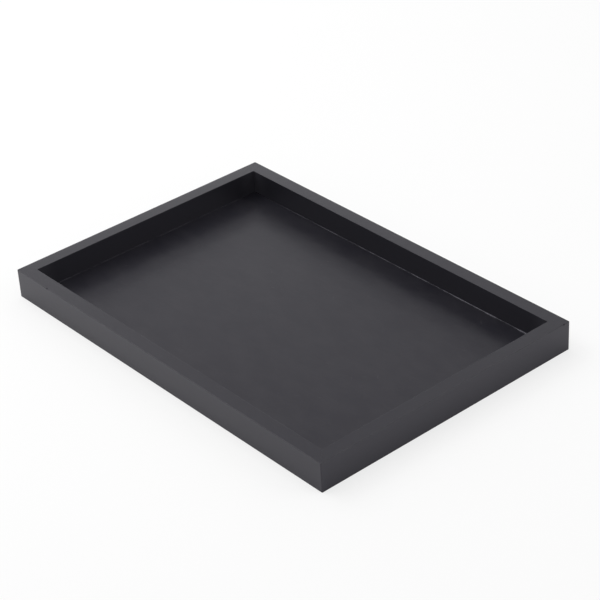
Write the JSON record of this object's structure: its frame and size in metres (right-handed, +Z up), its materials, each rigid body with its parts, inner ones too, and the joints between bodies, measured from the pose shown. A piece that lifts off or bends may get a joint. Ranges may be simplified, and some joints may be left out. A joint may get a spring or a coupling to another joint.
{
  "type": "serving tray",
  "caption": "Low rectangular wooden serving tray with even mitred rails around a flat floor panel, painted satin black.",
  "frame": {"origin": "middle of the tray on the surface it stands on", "axes": "+X along the long rails, +Y from the front long rail to the rear one, +Z up out of the open top"},
  "size_m": [0.44, 0.3, 0.03],
  "materials": {
    "rail_paint": "satin black paint on wood",
    "floor_paint": "satin black paint on board",
    "nail_steel": "steel, thinly oversprayed"
  },
  "bodies": {
    "root": {"front_long_rail": "rail_paint", "right_end_rail": "rail_paint", "rear_long_rail": "rail_paint", "left_end_rail": "rail_paint", "floor_panel": "floor_paint", "mitre_wedge_front_right": "nail_steel", "mitre_wedge_rear_right": "nail_steel", "mitre_wedge_rear_left": "nail_steel", "mitre_wedge_front_left": "nail_steel", "floor_brad_front_1": "nail_steel", "floor_brad_front_2": "nail_steel", "floor_brad_front_3": "nail_steel", "floor_brad_front_4": "nail_steel", "floor_brad_right_1": "nail_steel", "floor_brad_right_2": "nail_steel", "floor_brad_right_3": "nail_steel", "floor_brad_rear_1": "nail_steel", "floor_brad_rear_2": "nail_steel", "floor_brad_rear_3": "nail_steel", "floor_brad_rear_4": "nail_steel", "floor_brad_left_1": "nail_steel", "floor_brad_left_2": "nail_steel", "floor_brad_left_3": "nail_steel"}
  },
  "joints": []
}
